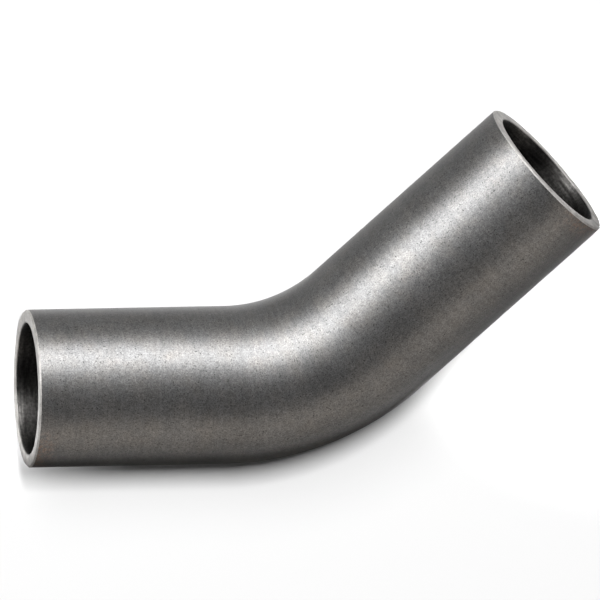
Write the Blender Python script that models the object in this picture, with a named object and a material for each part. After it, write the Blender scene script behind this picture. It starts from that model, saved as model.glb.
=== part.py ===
"""Pipe bend: thick-walled steel tube bent once, with a straight leg each side of the bend.

It is one piece. It lies on its side, as it comes to rest on a flat surface, so the centreline
is in a horizontal plane. Leg A runs along X, and leg B leaves the bend towards +X and +Y.
"""

from math import cos, pi, radians, sin

import bmesh
import bpy
from mathutils import Matrix, Vector

# Driving dimensions, in metres and degrees
OUTSIDE_DIAMETER = 0.0603
WALL = 0.0050
BEND_RADIUS = 0.0762  # from the centre of the bend to the centreline
BEND_ANGLE = 45.0
LEG_A = 0.077
LEG_B = 0.093
RIM_CHAMFER = 0.0006  # on the outer edge of each end
BORE_CHAMFER = 0.0004  # on the inner edge of each end

# Facets of the round walls
SIDES = 72
BEND_STEPS = 15

STEEL_COLOUR = (0.30, 0.29, 0.28, 1.0)
STEEL_ROUGHNESS = 0.38
SHARP_EDGE = radians(30)


def clear_scene():
    for old in list(bpy.data.objects):
        bpy.data.objects.remove(old)


def only(kind, geometry):
    return [item for item in geometry if isinstance(item, kind)]


def ring_section(bm):
    """The ring-shaped section of the tube, flat, at the free end of leg A."""
    at_end_a = Matrix.Translation((-LEG_A, 0, 0)) @ Matrix.Rotation(pi / 2, 4, "Y")
    for radius in (OUTSIDE_DIAMETER / 2, OUTSIDE_DIAMETER / 2 - WALL):
        bmesh.ops.create_circle(bm, radius=radius, segments=SIDES, matrix=at_end_a)
    bmesh.ops.bridge_loops(bm, edges=bm.edges[:])
    return [*bm.verts, *bm.edges, *bm.faces]


def draw_straight(bm, section, way):
    """Extrudes the section along a straight leg, and returns it at the far end."""
    made = bmesh.ops.extrude_face_region(bm, geom=section)["geom"]
    bmesh.ops.translate(bm, verts=only(bmesh.types.BMVert, made), vec=way)
    return made


def draw_bend(bm, section):
    """Turns the section about the centre of the bend, which is on +Y from where it starts."""
    return bmesh.ops.spin(
        bm,
        geom=section,
        cent=(0, BEND_RADIUS, 0),
        axis=(0, 0, 1),
        angle=radians(BEND_ANGLE),
        steps=BEND_STEPS,
    )["geom_last"]


def end_edges(section):
    """The edges round the rim of an end, and those round its bore."""
    faces = set(only(bmesh.types.BMFace, section))
    edges = only(bmesh.types.BMEdge, section)
    border = [e for e in edges if len(faces.intersection(e.link_faces)) == 1]
    middle = sum((e.verts[0].co for e in border), Vector()) / len(border)
    mid_wall = (OUTSIDE_DIAMETER - WALL) / 2
    rim = [e for e in border if (e.verts[0].co - middle).length > mid_wall]
    bore = [e for e in border if (e.verts[0].co - middle).length < mid_wall]
    return rim, bore


def chamfer(bm, edges, size):
    bmesh.ops.bevel(
        bm,
        geom=edges,
        offset=size,
        offset_type="OFFSET",
        affect="EDGES",
        segments=1,
        profile=0.5,
        material=-1,
    )


def pipe_mesh():
    """The whole pipe. Its bend starts at the origin."""
    bm = bmesh.new()
    angle = radians(BEND_ANGLE)
    end_a = ring_section(bm)
    bend_start = draw_straight(bm, end_a, Vector((LEG_A, 0, 0)))
    bend_finish = draw_bend(bm, bend_start)
    end_b = draw_straight(bm, bend_finish, Vector((cos(angle), sin(angle), 0)) * LEG_B)
    rim_a, bore_a = end_edges(end_a)
    rim_b, bore_b = end_edges(end_b)
    chamfer(bm, rim_a + rim_b, RIM_CHAMFER)
    chamfer(bm, bore_a + bore_b, BORE_CHAMFER)
    bmesh.ops.recalc_face_normals(bm, faces=bm.faces)
    mesh = bpy.data.meshes.new("pipe_bend")
    bm.to_mesh(mesh)
    bm.free()
    mesh.shade_smooth()
    mesh.set_sharp_from_angle(angle=SHARP_EDGE)
    return mesh


def steel():
    material = bpy.data.materials.new("steel")
    material.use_nodes = True
    shader = material.node_tree.nodes["Principled BSDF"]
    shader.inputs["Base Color"].default_value = STEEL_COLOUR
    shader.inputs["Metallic"].default_value = 1.0
    shader.inputs["Roughness"].default_value = STEEL_ROUGHNESS
    return material


def resting_place(mesh):
    """Where the mesh goes so that the origin is under the middle of it, on the surface."""
    lows = Vector([min(v.co[i] for v in mesh.vertices) for i in range(3)])
    highs = Vector([max(v.co[i] for v in mesh.vertices) for i in range(3)])
    middle = (lows + highs) / 2
    return Vector((-middle.x, -middle.y, -lows.z))


def main():
    clear_scene()
    pipe = bpy.data.objects.new("pipe_bend", pipe_mesh())
    pipe.data.materials.append(steel())
    pipe.location = resting_place(pipe.data)
    bpy.context.scene.collection.objects.link(pipe)


main()
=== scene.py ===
"""A thick-walled steel pipe bend, lying on a plain pale floor under soft studio light."""

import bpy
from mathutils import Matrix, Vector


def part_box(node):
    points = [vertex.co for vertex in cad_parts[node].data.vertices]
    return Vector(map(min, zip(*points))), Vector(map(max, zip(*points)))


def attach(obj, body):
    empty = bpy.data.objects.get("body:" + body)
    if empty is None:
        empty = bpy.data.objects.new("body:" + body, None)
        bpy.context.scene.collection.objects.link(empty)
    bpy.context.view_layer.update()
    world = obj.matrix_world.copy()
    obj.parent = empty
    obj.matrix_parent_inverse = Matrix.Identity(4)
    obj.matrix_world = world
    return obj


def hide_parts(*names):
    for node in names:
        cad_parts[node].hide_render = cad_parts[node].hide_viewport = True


bl_info = {
    "name": "Steel Pipe Bend",
    "version": (1, 0, 0),
    "blender": (4, 5, 0),
    "location": "3D Viewport > Sidebar > Pipe Bend",
    "description": "Models a steel pipe bend with its mill finish, and the studio it is shown in",
    "category": "Add Mesh",
}

from math import atan2, cos, hypot, pi, radians, sin

import bmesh
import bpy
from bpy.props import FloatProperty, FloatVectorProperty, IntProperty, PointerProperty
from mathutils import Matrix, Vector

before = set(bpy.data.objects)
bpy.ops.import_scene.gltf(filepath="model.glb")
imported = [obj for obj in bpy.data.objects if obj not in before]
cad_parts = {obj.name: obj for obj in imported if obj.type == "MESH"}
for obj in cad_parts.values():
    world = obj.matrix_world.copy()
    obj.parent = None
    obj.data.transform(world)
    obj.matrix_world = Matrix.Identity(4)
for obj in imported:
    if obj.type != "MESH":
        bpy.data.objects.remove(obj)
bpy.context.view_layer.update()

# Where the finishes lie on the pipe, as the numbers of its material slots
OUTSIDE, END_FACE, BORE = 0, 1, 2

# The name of the map that holds where each point was before the pipe was bent
BEFORE_BENDING = "before_bending"

# The pipe's mesh. Lengths are in metres
SLACK = 0.00001
SHARP_EDGE = radians(25)
RIM_CHAMFER_STEPS = 1
BORE_CHAMFER_STEPS = 2

# The Mix node's sockets when it mixes colours
MIX_FACTOR, MIX_FIRST, MIX_SECOND, MIX_RESULT = 0, 6, 7, 2

# The span that holds nearly all of a noise pattern's values
NOISE_LOW, NOISE_HIGH = 0.3, 0.7

# Rust: how far it reaches from an end, where it starts and is full across the pipe, how much of
# it shows at most, and what part of that the stains away from the ends have
RUST_REACH = 0.009
RUST_STARTS, RUST_FULL = -0.002, -0.012
RUST_STRENGTH = 0.40
STAIN_PART = 0.12

# The band of painted light along one side of the bore: its edge and middle as turns from its
# centre line, and how much brighter its painted light makes the scale at end A and at end B
LIT_BAND_EDGE, LIT_BAND_MIDDLE = radians(30), radians(6)
LIT_BAND_AT_A, LIT_BAND_AT_B = 1.5, 0.25

# The studio. Lengths are in metres, apart from the camera's sensor in millimetres
WHITE = (1.0, 1.0, 1.0)
COOL = (0.98, 0.99, 1.0)
WARM = (1.0, 0.905, 0.80)
ROOM_COLOUR = (0.97, 0.98, 1.0, 1.0)
FLOOR_SHADE = 0.82
MATT_ROUGHNESS = 0.9
SIDE_PANEL_DISTANCE = 1.25
CEILING_SHARE = 0.04
SPOT_BULB_RADIUS = 0.01
CAMERA_AIM = Vector((-0.00497, -0.00432, 0.03015))
CAMERA_SENSOR = 36
CAMERA_REACH = 50


class PipeSizes(bpy.types.PropertyGroup):
    """The sizes of the pipe, as in the solid model"""

    outside_diameter: FloatProperty(
        name="Outside Diameter", description="Across the outside of the pipe", default=0.0603,
        min=0.01, precision=4, unit="LENGTH")
    wall: FloatProperty(
        name="Wall", description="Thickness of the pipe's wall", default=0.0050,
        min=0.001, precision=4, unit="LENGTH")
    bend_radius: FloatProperty(
        name="Bend Radius", description="From the centre of the bend to the middle of the pipe",
        default=0.0762, min=0.03, precision=4, unit="LENGTH")
    bend_angle: FloatProperty(
        name="Bend Angle", description="How far the bend turns the run", default=radians(45),
        min=radians(5), max=radians(180), subtype="ANGLE")
    leg_a: FloatProperty(
        name="Leg A", description="Length of the straight before the bend", default=0.077,
        min=0.005, precision=4, unit="LENGTH")
    leg_b: FloatProperty(
        name="Leg B", description="Length of the straight after the bend", default=0.093,
        min=0.005, precision=4, unit="LENGTH")
    rim_chamfer: FloatProperty(
        name="Rim Chamfer", description="Width of the chamfer round the outside of each end",
        default=0.0006, min=0.0001, precision=5, unit="LENGTH")
    bore_chamfer: FloatProperty(
        name="Bore Chamfer", description="Width of the chamfer round the bore at each end",
        default=0.0004, min=0.0001, precision=5, unit="LENGTH")
    sides: IntProperty(
        name="Sides", description="Flats round the pipe", default=192, min=24, max=360)
    leg_rings: IntProperty(
        name="Leg Rings", description="Rings of faces along each leg", default=24, min=1, max=80)
    bend_rings: IntProperty(
        name="Bend Rings", description="Rings of faces along the bend", default=48, min=6,
        max=120)


class SteelFinish(bpy.types.PropertyGroup):
    """The colours of the steel"""

    skin: FloatVectorProperty(
        name="Mill Skin", description="Colour that the outside of the pipe reflects",
        default=(0.1050, 0.1038, 0.1030), subtype="COLOR", min=0, max=1)
    warm_skin: FloatVectorProperty(
        name="Warm Skin", description="Colour of the brownish patches on the outside",
        default=(0.1080, 0.1038, 0.0995), subtype="COLOR", min=0, max=1)
    rust: FloatVectorProperty(
        name="Rust", description="Colour of the rusty tinge beside the ends, and of the stains",
        default=(0.20, 0.10, 0.05), subtype="COLOR", min=0, max=1)
    cut_face: FloatVectorProperty(
        name="Cut Face", description="Colour of the bare turned ends",
        default=(0.355, 0.342, 0.328), subtype="COLOR", min=0, max=1)
    bore_scale: FloatVectorProperty(
        name="Bore Scale", description="Colour of the dark scale inside the pipe",
        default=(0.034, 0.0325, 0.031), subtype="COLOR", min=0, max=1)
    # The band of painted light in the bore: where it lies, turned from its lowest line
    lit_band_turn: FloatProperty(
        name="Lit Band Turn", default=radians(54), subtype="ANGLE",
        description="Where the paler band lies along the bore, from its lowest line")


class StudioSettings(bpy.types.PropertyGroup):
    """The floor, the light and the camera"""

    floor_size: FloatProperty(
        name="Floor Size", description="Width of the floor", default=8.0, min=1, unit="LENGTH")
    rig_azimuth: FloatProperty(
        name="Rig Azimuth", description="Where the long strip stands, turned from leg A's line",
        default=radians(112), subtype="ANGLE")
    strip_glow: FloatProperty(
        name="Strip Glow", description="Brightness of the long strip that the steel reflects",
        default=6.3, min=0)
    halo_glow: FloatProperty(
        name="Halo Glow", description="Brightness of the wider panel round the strip",
        default=3.9, min=0)
    high_glow: FloatProperty(
        name="High Glow", description="Brightness of the tall panel behind them",
        default=1.30, min=0)
    fill_glow: FloatProperty(
        name="Fill Glow", description="Brightness of the warm panels on the other side",
        default=0.52, min=0)
    sky_glow: FloatProperty(
        name="Sky Glow", description="Brightness of the plain room that the steel reflects",
        default=0.38, min=0)
    end_glow: FloatProperty(
        name="End Glow", description="Brightness of the small panels beyond the pipe's ends",
        default=1.15, min=0)
    front_glow: FloatProperty(
        name="Front Glow", default=1.9, min=0,
        description="Brightness of the panels that light the views from the front")
    floor_glow: FloatProperty(
        name="Floor Glow", description="How much light the three soft lamps shed on the floor",
        default=1.28, min=0)
    tail_share: FloatProperty(
        name="Tail Share", default=0.22, min=0, max=1,
        description="Part of it from the lower lamp, which gives the pale shadow")
    lamp_azimuth: FloatProperty(
        name="Lamp Azimuth", description="Where the main lamp stands, turned from leg A's line",
        default=radians(104), subtype="ANGLE")
    lamp_elevation: FloatProperty(
        name="Lamp Elevation", description="How high the main lamp stands over the floor",
        default=radians(58.8), subtype="ANGLE")
    spot_distance: FloatProperty(
        name="Spot Distance", description="From the floor to each small floor spot",
        default=1.5, min=0.2, unit="LENGTH")
    azimuth: FloatProperty(
        name="Azimuth", description="Where the camera stands, turned from leg A's line",
        default=radians(113.3573), subtype="ANGLE")
    elevation: FloatProperty(
        name="Elevation", description="How far the camera stands above the floor's plane",
        default=radians(63.1560), subtype="ANGLE")
    roll: FloatProperty(
        name="Roll", description="How far the camera is turned about its own line of sight",
        default=radians(157.8447), subtype="ANGLE")
    distance: FloatProperty(
        name="Distance", description="From the camera to the middle of the pipe",
        default=9.03968, min=0.1, precision=4, unit="LENGTH")
    lens: FloatProperty(
        name="Lens", description="Focal length of the camera", default=1421.30, min=20, max=3000,
        unit="CAMERA")


# The pipe's shape


def only(kind, geometry):
    return [item for item in geometry if isinstance(item, kind)]


def ring_section(bm, sizes):
    """The ring-shaped section of the tube, flat, at the free end of leg A."""
    at_end_a = Matrix.Translation((-sizes.leg_a, 0, 0)) @ Matrix.Rotation(pi / 2, 4, "Y")
    outer = sizes.outside_diameter / 2
    for radius in (outer, outer - sizes.wall):
        bmesh.ops.create_circle(bm, radius=radius, segments=sizes.sides, matrix=at_end_a)
    bmesh.ops.bridge_loops(bm, edges=bm.edges[:])
    return [*bm.verts, *bm.edges, *bm.faces]


def draw_straight(bm, section, way, rings):
    """Extrudes the section along a straight leg, ring by ring, and returns it at the far end."""
    for _ in range(rings):
        section = bmesh.ops.extrude_face_region(bm, geom=section)["geom"]
        bmesh.ops.translate(bm, verts=only(bmesh.types.BMVert, section), vec=way / rings)
    return section


def draw_bend(bm, section, sizes):
    """Turns the section about the centre of the bend, which is on +Y from where it starts."""
    return bmesh.ops.spin(
        bm,
        geom=section,
        cent=(0, sizes.bend_radius, 0),
        axis=(0, 0, 1),
        angle=sizes.bend_angle,
        steps=sizes.bend_rings,
    )["geom_last"]


def end_edges(section, sizes):
    """The edges round the rim of an end, and those round its bore."""
    faces = set(only(bmesh.types.BMFace, section))
    edges = only(bmesh.types.BMEdge, section)
    border = [e for e in edges if len(faces.intersection(e.link_faces)) == 1]
    middle = sum((e.verts[0].co for e in border), Vector()) / len(border)
    mid_wall = (sizes.outside_diameter - sizes.wall) / 2
    rim = [e for e in border if (e.verts[0].co - middle).length > mid_wall]
    bore = [e for e in border if (e.verts[0].co - middle).length < mid_wall]
    return rim, bore


def chamfer(bm, edges, size, segments):
    bmesh.ops.bevel(
        bm,
        geom=edges,
        offset=size,
        offset_type="OFFSET",
        affect="EDGES",
        segments=segments,
        profile=0.5,
        material=-1,
    )


def bent_tube(sizes):
    """The tube, with its ends chamfered. Its bend starts at the origin."""
    bm = bmesh.new()
    angle = sizes.bend_angle
    end_a = ring_section(bm, sizes)
    bend_start = draw_straight(bm, end_a, Vector((sizes.leg_a, 0, 0)), sizes.leg_rings)
    bend_finish = draw_bend(bm, bend_start, sizes)
    way_b = Vector((cos(angle), sin(angle), 0)) * sizes.leg_b
    end_b = draw_straight(bm, bend_finish, way_b, sizes.leg_rings)
    rim_a, bore_a = end_edges(end_a, sizes)
    rim_b, bore_b = end_edges(end_b, sizes)
    chamfer(bm, rim_a + rim_b, sizes.rim_chamfer, RIM_CHAMFER_STEPS)
    chamfer(bm, bore_a + bore_b, sizes.bore_chamfer, BORE_CHAMFER_STEPS)
    bmesh.ops.recalc_face_normals(bm, faces=bm.faces)
    return bm


def before_bending(point, sizes):
    """Where a point was while the pipe was straight: along the pipe, across it and up."""
    if point.x <= 0:
        return Vector(point)
    angle = sizes.bend_angle
    turned = atan2(point.x, sizes.bend_radius - point.y)
    if turned < angle:
        out = hypot(point.x, sizes.bend_radius - point.y)
        return Vector((sizes.bend_radius * turned, sizes.bend_radius - out, point.z))
    leg_start = Vector((sin(angle), 1 - cos(angle), 0)) * sizes.bend_radius
    from_start = point - leg_start
    along = from_start.dot(Vector((cos(angle), sin(angle), 0)))
    across = from_start.dot(Vector((-sin(angle), cos(angle), 0)))
    return Vector((sizes.bend_radius * angle + along, across, point.z))


def share_out_finishes(bm, sizes):
    """Gives each face the finish of the outside, the bore, or an end with its chamfers."""
    outer = sizes.outside_diameter / 2
    outer_flat = outer * cos(pi / sizes.sides)
    bore = outer - sizes.wall
    for face in bm.faces:
        radii = [hypot(*before_bending(v.co, sizes).yz) for v in face.verts]
        if min(radii) > outer_flat - SLACK:
            face.material_index = OUTSIDE
        elif max(radii) < bore + SLACK:
            face.material_index = BORE
        else:
            face.material_index = END_FACE


def keep_straight_map(bm, sizes):
    """Stores on each point where it was before bending, for the finishes to follow."""
    layer = bm.verts.layers.float_vector.new(BEFORE_BENDING)
    for vert in bm.verts:
        vert[layer] = before_bending(vert.co, sizes)


def pipe_piece(sizes):
    """The whole pipe, where the solid model has it."""
    bm = bent_tube(sizes)
    share_out_finishes(bm, sizes)
    keep_straight_map(bm, sizes)
    low = Vector(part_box("pipe_bend")[0])
    radius = sizes.outside_diameter / 2
    place = Vector((low.x + sizes.leg_a, low.y + radius, low.z + radius))
    bmesh.ops.translate(bm, verts=bm.verts, vec=place)
    mesh = bpy.data.meshes.new("steel_pipe")
    bm.to_mesh(mesh)
    bm.free()
    mesh.shade_smooth()
    mesh.set_sharp_from_angle(angle=SHARP_EDGE)
    pipe = bpy.data.objects.new("steel_pipe", mesh)
    bpy.context.scene.collection.objects.link(pipe)
    return pipe


# Nodes that the finishes share


def add_node(tree, kind, inputs=None, **settings):
    """Adds a node. An input takes a value, or is linked when it is given another's output."""
    node = tree.nodes.new(kind)
    for name, value in settings.items():
        setattr(node, name, value)
    for name, value in (inputs or {}).items():
        if isinstance(value, bpy.types.NodeSocket):
            tree.links.new(value, node.inputs[name])
        else:
            node.inputs[name].default_value = value
    return node


def combine(tree, operation, first, second):
    inputs = {0: first, 1: second}
    return add_node(tree, "ShaderNodeMath", inputs, operation=operation).outputs[0]


def product(tree, value, *factors):
    for factor in factors:
        value = combine(tree, "MULTIPLY", value, factor)
    return value


def noise(tree, place, per_metre, detail=2.0, roughness=0.5):
    """Cloudy noise, so many clouds to the metre, with values around a half."""
    inputs = {"Vector": place, "Scale": per_metre, "Detail": detail, "Roughness": roughness}
    return add_node(tree, "ShaderNodeTexNoise", inputs).outputs["Fac"]


def between(tree, value, low, high, to_low=0.0, to_high=1.0):
    """Spreads the part of a value from low to high over a new span, and holds it past both."""
    inputs = {
        "Value": value, "From Min": low, "From Max": high, "To Min": to_low, "To Max": to_high
    }
    return add_node(tree, "ShaderNodeMapRange", inputs).outputs["Result"]


def vary(tree, pattern, at_low, at_high):
    """Turns a noise pattern into a value from one limit to the other."""
    return between(tree, pattern, NOISE_LOW, NOISE_HIGH, at_low, at_high)


def blend(tree, factor, first, second):
    """The first colour where the factor is none, and the second where it is full."""
    inputs = {MIX_FACTOR: factor, MIX_FIRST: first, MIX_SECOND: second}
    return add_node(tree, "ShaderNodeMix", inputs, data_type="RGBA").outputs[MIX_RESULT]


def darken(tree, colour, factor):
    """A colour times a factor, which may also brighten it."""
    inputs = {MIX_FACTOR: 1.0, MIX_FIRST: colour, MIX_SECOND: factor}
    node = add_node(tree, "ShaderNodeMix", inputs, data_type="RGBA", blend_type="MULTIPLY")
    return node.outputs[MIX_RESULT]


def opaque(colour):
    return (*colour, 1.0)


def straight_map(tree):
    """Along the pipe, across it and up, in metres, as if the pipe were straight."""
    return add_node(tree, "ShaderNodeAttribute", attribute_name=BEFORE_BENDING).outputs["Vector"]


def coordinate(tree, place, axis):
    """One coordinate on the straight map: X along the pipe, Y across it or Z up."""
    return add_node(tree, "ShaderNodeSeparateXYZ", {"Vector": place}).outputs[axis]


def stretch(tree, place, along, across):
    """Draws a pattern out along the pipe or across it."""
    inputs = {"Vector": place, "Scale": (along, across, across)}
    return add_node(tree, "ShaderNodeMapping", inputs).outputs["Vector"]


def from_nearest_end(tree, place, sizes):
    """How far a point lies along the pipe from the nearer of its two ends."""
    along = coordinate(tree, place, "X")
    to_end_b = sizes.bend_radius * sizes.bend_angle + sizes.leg_b
    from_a = combine(tree, "ADD", along, sizes.leg_a)
    from_b = combine(tree, "SUBTRACT", to_end_b, along)
    return combine(tree, "MINIMUM", from_a, from_b)


def from_centreline(tree, place):
    """How far a point lies from the middle of the pipe."""
    across = coordinate(tree, place, "Y")
    up = coordinate(tree, place, "Z")
    squares = combine(tree, "ADD", product(tree, across, across), product(tree, up, up))
    return combine(tree, "POWER", squares, 0.5)


def new_steel(name):
    material = bpy.data.materials.new(name)
    material.use_nodes = True
    shader = material.node_tree.nodes["Principled BSDF"]
    shader.inputs["Metallic"].default_value = 1.0
    return material, material.node_tree, shader


def finish_steel(tree, shader, colour, shade, roughness, height, depth):
    """Links up a steel: its colour times its shade, its roughness, and its dents in metres."""
    bump = add_node(
        tree, "ShaderNodeBump", {"Height": height, "Distance": depth, "Strength": 1.0})
    tree.links.new(darken(tree, colour, shade), shader.inputs["Base Color"])
    tree.links.new(roughness, shader.inputs["Roughness"])
    tree.links.new(bump.outputs["Normal"], shader.inputs["Normal"])


# The finishes


def rustiness(tree, place, flecks, sizes):
    """How rusty the skin is: patchy beside the ends on the low side, and faintly stained."""
    by_end = between(tree, from_nearest_end(tree, place, sizes), RUST_REACH, 0.0)
    low_side = between(tree, coordinate(tree, place, "Y"), RUST_STARTS, RUST_FULL)
    patchy = between(tree, flecks, 0.40, 0.62)
    clouds = noise(tree, place, per_metre=55, detail=4.0, roughness=0.65)
    stained = between(tree, clouds, 0.56, 0.72)
    beside_ends = product(tree, by_end, low_side, patchy)
    stains = product(tree, stained, patchy, STAIN_PART)
    return product(tree, combine(tree, "MAXIMUM", beside_ends, stains), RUST_STRENGTH)


def mill_skin(finish, sizes):
    """The dark satin skin of the outside: grainy, pitted, smudged and a little brown in places."""
    material, tree, shader = new_steel("mill skin")
    place = straight_map(tree)
    drawn_round = stretch(tree, place, along=1.0, across=0.07)
    drawn_along = stretch(tree, place, along=0.8, across=1.0)
    grain = noise(tree, place, per_metre=1900, roughness=0.75)
    round_marks = noise(tree, drawn_round, per_metre=800, detail=3.0, roughness=0.6)
    flecks = noise(tree, place, per_metre=650, detail=3.0, roughness=0.6)
    blotches = noise(tree, place, per_metre=130, detail=4.0, roughness=0.6)
    smudges = noise(tree, drawn_along, per_metre=45, detail=3.0, roughness=0.55)
    pits = between(tree, noise(tree, place, per_metre=1700, detail=0.0), 0.71, 0.79)
    brown = between(tree, blotches, 0.42, 0.70)
    clean = blend(tree, brown, opaque(finish.skin), opaque(finish.warm_skin))
    rusty = rustiness(tree, place, flecks, sizes)
    shade = product(
        tree,
        between(tree, grain, 0.25, 0.75, 0.52, 1.52),
        vary(tree, flecks, 0.86, 1.14),
        vary(tree, round_marks, 0.92, 1.08),
        vary(tree, blotches, 0.96, 1.04),
        vary(tree, smudges, 0.93, 1.07),
        between(tree, pits, 0, 1, 1.0, 0.40),
    )
    finish_steel(
        tree,
        shader,
        colour=blend(tree, rusty, clean, opaque(finish.rust)),
        shade=shade,
        roughness=combine(
            tree, "ADD", vary(tree, smudges, 0.36, 0.40), vary(tree, grain, -0.03, 0.04)),
        height=combine(tree, "SUBTRACT", combine(tree, "ADD", grain, flecks), pits),
        depth=0.00002,
    )
    return material


def turned_end(finish, sizes):
    """The bare steel of the square-cut ends, with fine rings left by the cutting tool."""
    material, tree, shader = new_steel("turned end")
    place = straight_map(tree)
    radius = from_centreline(tree, place)
    rings = add_node(
        tree, "ShaderNodeTexNoise", {"W": radius, "Scale": 4200, "Detail": 3.0},
        noise_dimensions="1D",
    ).outputs["Fac"]
    clouds = noise(tree, place, per_metre=260, detail=3.0)
    scratches = noise(tree, place, per_metre=1300, roughness=0.7)
    bore = sizes.outside_diameter / 2 - sizes.wall
    # Painted shade: the colour darkens towards the bore, to 0.30 at its edge, over the bore's
    # chamfer and a little beyond, which dims the bright line that the chamfer catches
    painted_shade_width = sizes.bore_chamfer * 1.5
    painted_shade_at_bore = between(tree, radius, bore, bore + painted_shade_width, 0.30, 1.0)
    shade = product(
        tree,
        vary(tree, rings, 0.88, 1.12),
        vary(tree, clouds, 0.72, 1.20),
        vary(tree, scratches, 0.84, 1.16),
        painted_shade_at_bore,
    )
    finish_steel(
        tree,
        shader,
        colour=opaque(finish.cut_face),
        shade=shade,
        roughness=vary(tree, clouds, 0.52, 0.44),
        height=rings,
        depth=0.00001,
    )
    return material


def painted_light_band(tree, place, finish, sizes):
    """Painted light: how much brighter the scale is in a band along one side of the bore."""
    bore = sizes.outside_diameter / 2 - sizes.wall
    centre_line = (0, -sin(finish.lit_band_turn) / bore, -cos(finish.lit_band_turn) / bore)
    towards_band = add_node(
        tree, "ShaderNodeVectorMath", {0: place, 1: centre_line}, operation="DOT_PRODUCT"
    ).outputs["Value"]
    in_band = between(tree, towards_band, cos(LIT_BAND_EDGE), cos(LIT_BAND_MIDDLE))
    strength = between(
        tree, coordinate(tree, place, "X"), -sizes.leg_a, sizes.leg_b, LIT_BAND_AT_A, LIT_BAND_AT_B)
    return combine(tree, "ADD", product(tree, in_band, strength), 1.0)


def bore_scale(finish, sizes):
    """The dark rough scale inside the pipe, streaked round it and darkest at its mouths."""
    material, tree, shader = new_steel("bore scale")
    place = straight_map(tree)
    drawn_round = stretch(tree, place, along=1.0, across=0.12)
    streaks = noise(tree, drawn_round, per_metre=900, detail=4.0, roughness=0.65)
    specks = noise(tree, place, per_metre=900)
    clouds = noise(tree, place, per_metre=120, detail=3.0)
    depth_in = from_nearest_end(tree, place, sizes)
    shade = product(
        tree,
        between(tree, streaks, 0.35, 0.65, 0.55, 1.6),
        between(tree, specks, 0.35, 0.7, 0.7, 1.6),
        vary(tree, clouds, 0.7, 1.2),
        # Painted light: the band along one side of the bore
        painted_light_band(tree, place, finish, sizes),
        between(tree, depth_in, 0.0005, 0.0040, 0.50, 1.0),
    )
    finish_steel(
        tree,
        shader,
        colour=opaque(finish.bore_scale),
        shade=shade,
        roughness=vary(tree, specks, 0.42, 0.32),
        height=combine(tree, "ADD", streaks, specks),
        depth=0.00006,
    )
    return material


# The studio


def towards(azimuth, elevation):
    """The way from the pipe to something that stands at these angles."""
    level = cos(elevation)
    return Vector((cos(azimuth) * level, sin(azimuth) * level, sin(elevation)))


def shine(name, data, location, away, on_steel):
    """Puts a light in place, facing against away. It lights the steel only, or the floor only."""
    light = bpy.data.objects.new(name, data)
    light.location = location
    light.rotation_euler = (-away).to_track_quat("-Z", "Y").to_euler()
    light.visible_camera = False
    light.visible_diffuse = not on_steel
    light.visible_glossy = on_steel
    bpy.context.scene.collection.objects.link(light)


def standing_panel(name, studio, out, low, high, width, glow, colour):
    """A flat soft light of an even glow, which stands upright and is seen in the steel."""
    data = bpy.data.lights.new(name, "AREA")
    data.shape = "RECTANGLE"
    data.size = width
    data.size_y = high - low
    data.energy = glow * pi * width * (high - low)
    data.color = colour
    away = towards(studio.rig_azimuth, 0) * out
    middle = away + Vector((0, 0, (low + high) / 2))
    shine(name, data, middle, away, on_steel=True)


def side_panel(name, azimuth, elevation, size, glow):
    """A small soft panel to one side, which the rims catch, and which lights views from there."""
    data = bpy.data.lights.new(name, "AREA")
    data.size = size
    data.energy = glow * pi * size**2
    away = towards(azimuth, elevation)
    shine(name, data, away * SIDE_PANEL_DISTANCE, away, on_steel=True)


def floor_lamp(name, studio, azimuth, elevation, distance, width, height, share):
    """A soft lamp that gives a share of the light on the floor."""
    data = bpy.data.lights.new(name, "AREA")
    data.shape = "RECTANGLE"
    data.size = width
    data.size_y = height
    data.energy = share * studio.floor_glow * (pi * distance) ** 2 / sin(elevation)
    away = towards(azimuth, elevation)
    shine(name, data, away * distance, away, on_steel=False)


def floor_spot(name, studio, azimuth, elevation, aim, radius, glow):
    """A small soft spot that lifts a shadow on the floor."""
    data = bpy.data.lights.new(name, "SPOT")
    data.spot_size = 2 * atan2(radius, studio.spot_distance)
    data.spot_blend = 1.0
    data.shadow_soft_size = SPOT_BULB_RADIUS
    data.energy = glow * (2 * pi * studio.spot_distance) ** 2 / sin(elevation)
    away = towards(azimuth, elevation)
    shine(name, data, Vector(aim) + away * studio.spot_distance, away, on_steel=False)


def flat_sheet(name, place, shade):
    """A flat matt grey sheet, made from a square of one metre that place moves and sizes."""
    bm = bmesh.new()
    bmesh.ops.create_grid(bm, x_segments=1, y_segments=1, size=0.5)
    bmesh.ops.transform(bm, matrix=place, verts=bm.verts)
    mesh = bpy.data.meshes.new(name)
    bm.to_mesh(mesh)
    bm.free()
    material = bpy.data.materials.new(name)
    material.use_nodes = True
    shader = material.node_tree.nodes["Principled BSDF"]
    shader.inputs["Base Color"].default_value = (shade, shade, shade, 1.0)
    shader.inputs["Roughness"].default_value = MATT_ROUGHNESS
    shader.inputs["Specular IOR Level"].default_value = 0.0
    mesh.materials.append(material)
    sheet = bpy.data.objects.new(name, mesh)
    bpy.context.scene.collection.objects.link(sheet)
    return sheet


def dark_card(name, turn, corner, width, depth, shade):
    """A dark card on the floor, seen in the steel only, and turned about its back left corner."""
    # The card is a painted dark reflection: only the steel sees it, over floor that is lit
    from_corner = Matrix.Translation((width / 2, -depth / 2, 0))
    place = Matrix.Translation(corner) @ Matrix.Rotation(turn, 4, "Z") @ from_corner
    card = flat_sheet(name, place @ Matrix.Diagonal((width, depth, 1, 1)), shade)
    card.visible_camera = False
    card.visible_diffuse = False
    card.visible_shadow = False


def pale_floor(studio):
    size = studio.floor_size
    floor = flat_sheet("pale_floor", Matrix.Diagonal((size, size, 1, 1)), FLOOR_SHADE)


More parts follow.
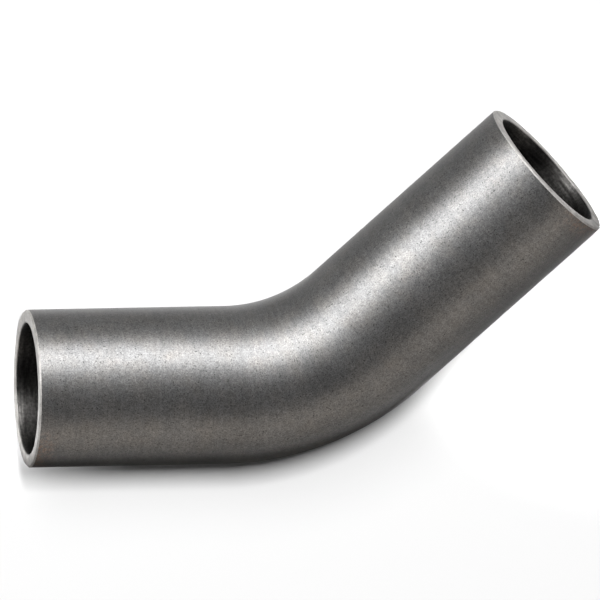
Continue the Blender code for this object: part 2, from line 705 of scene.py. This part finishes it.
def plain_room(studio):
    """An even pale room, which only the steel reflects."""
    world = bpy.data.worlds.new("plain room")
    bpy.context.scene.world = world
    world.use_nodes = True
    back = world.node_tree.nodes["Background"]
    back.inputs["Color"].default_value = ROOM_COLOUR
    back.inputs["Strength"].default_value = studio.sky_glow
    world.cycles_visibility.diffuse = False


def photo_camera(studio):
    away = towards(studio.azimuth, studio.elevation)
    level = Vector((0, 0, 1)).cross(away).normalized()
    right = Matrix.Rotation(studio.roll, 3, away) @ level
    up = away.cross(right)
    turn = Matrix((right, up, away)).transposed().to_4x4()
    camera = bpy.data.objects.new("camera", bpy.data.cameras.new("camera"))
    camera.data.lens = studio.lens
    camera.data.sensor_width = CAMERA_SENSOR
    camera.data.clip_end = CAMERA_REACH
    camera.matrix_world = Matrix.Translation(CAMERA_AIM + away * studio.distance) @ turn
    bpy.context.scene.collection.objects.link(camera)
    bpy.context.scene.camera = camera


def light_the_steel(studio):
    for name, out, low, high, width, glow, colour in (
        ("strip", 1.2, 0.26, 0.94, 3.0, studio.strip_glow, COOL),
        ("strip halo", 1.25, 0.01, 1.25, 3.2, studio.halo_glow, COOL),
        ("high halo", 1.3, 0.01, 2.7, 3.4, studio.high_glow, WHITE),
        ("warm fill", -1.2, 0.10, 2.3, 4.4, studio.fill_glow, WARM),
        ("high fill", -1.25, 0.70, 2.3, 4.4, studio.fill_glow, WARM),
    ):
        standing_panel(name, studio, out, low, high, width, glow, colour)
    for name, azimuth, elevation, size, glow in (
        ("left end panel", 205, 15, 0.6, studio.end_glow),
        ("right end panel", 20, 15, 0.6, studio.end_glow),
        ("left front panel", 232, 32, 0.7, studio.front_glow),
        ("right front panel", 345, 32, 0.7, studio.front_glow),
    ):
        side_panel(name, radians(azimuth), radians(elevation), size, glow)
    # Dark cards that only the steel sees: painted dark reflections over parts of the lit floor
    for name, turn, corner, width, depth, shade in (
        ("front_card", 0, (-0.9, -0.08, 0.0005), 1.0, 0.32, 0.02),
        ("side_card", 45, (0.045, -0.045, 0.0010), 0.6, 0.32, 0.22),
        ("back_card", 180, (0.9, 0.0, 0.0003), 1.8, 1.4, 0.56),
    ):
        dark_card(name, radians(turn), corner, width, depth, shade)


def light_the_floor(studio):
    main_share = 1 - CEILING_SHARE - studio.tail_share
    for name, azimuth, elevation, distance, width, height, share in (
        ("floor lamp", studio.lamp_azimuth, studio.lamp_elevation, 6.0, 0.42, 0.95, main_share),
        ("ceiling lamp", radians(90), radians(80), 2.0, 2.4, 2.4, CEILING_SHARE),
        ("low floor lamp", radians(118), radians(50), 3.0, 1.1, 1.1, studio.tail_share),
    ):
        floor_lamp(name, studio, azimuth, elevation, distance, width, height, share)
    for name, azimuth, elevation, aim, radius, glow in (
        ("left floor spot", 185, 28, (-0.112, -0.071, 0), 0.026, 1.0),
        ("right floor spot", -45, 40, (0.100, -0.020, 0), 0.075, 1.0),
    ):
        floor_spot(name, studio, radians(azimuth), radians(elevation), aim, radius, glow)


# What the sidebar offers


class PIPE_OT_bend(bpy.types.Operator):
    """Model the bent steel pipe with its finishes"""

    bl_idname = "pipe.bend"
    bl_label = "Pipe Bend"
    bl_options = {"REGISTER", "UNDO"}

    def execute(self, context):
        sizes = context.scene.pipe_sizes
        finish = context.scene.pipe_finish
        pipe = pipe_piece(sizes)
        for make_material in (mill_skin, turned_end, bore_scale):
            pipe.data.materials.append(make_material(finish, sizes))
        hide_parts("pipe_bend")
        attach(pipe, "root")
        return {"FINISHED"}


class PIPE_OT_studio(bpy.types.Operator):
    """Set up the pale floor, the soft lights, the plain room and the camera"""

    bl_idname = "pipe.studio"
    bl_label = "Studio"
    bl_options = {"REGISTER", "UNDO"}

    def execute(self, context):
        studio = context.scene.pipe_studio
        pale_floor(studio)
        plain_room(studio)
        light_the_steel(studio)
        light_the_floor(studio)
        photo_camera(studio)
        context.scene.view_settings.view_transform = "Standard"
        return {"FINISHED"}


class PIPE_PT_sidebar(bpy.types.Panel):
    """Builds the pipe bend and its studio"""

    bl_idname = "PIPE_PT_sidebar"
    bl_label = "Pipe Bend"
    bl_space_type = "VIEW_3D"
    bl_region_type = "UI"
    bl_category = "Pipe Bend"

    def draw(self, context):
        layout = self.layout
        scene = context.scene
        for group in (scene.pipe_sizes, scene.pipe_finish, scene.pipe_studio):
            box = layout.box()
            for name in group.__annotations__:
                box.prop(group, name)
        layout.operator("pipe.bend")
        layout.operator("pipe.studio")


CLASSES = (PipeSizes, SteelFinish, StudioSettings, PIPE_OT_bend, PIPE_OT_studio, PIPE_PT_sidebar)


def register():
    for cls in CLASSES:
        bpy.utils.register_class(cls)
    bpy.types.Scene.pipe_sizes = PointerProperty(type=PipeSizes)
    bpy.types.Scene.pipe_finish = PointerProperty(type=SteelFinish)
    bpy.types.Scene.pipe_studio = PointerProperty(type=StudioSettings)


def unregister():
    del bpy.types.Scene.pipe_studio
    del bpy.types.Scene.pipe_finish
    del bpy.types.Scene.pipe_sizes
    for cls in reversed(CLASSES):
        bpy.utils.unregister_class(cls)


def main():
    register()
    bpy.ops.pipe.bend()
    bpy.ops.pipe.studio()


if __name__ == "__main__":
    main()
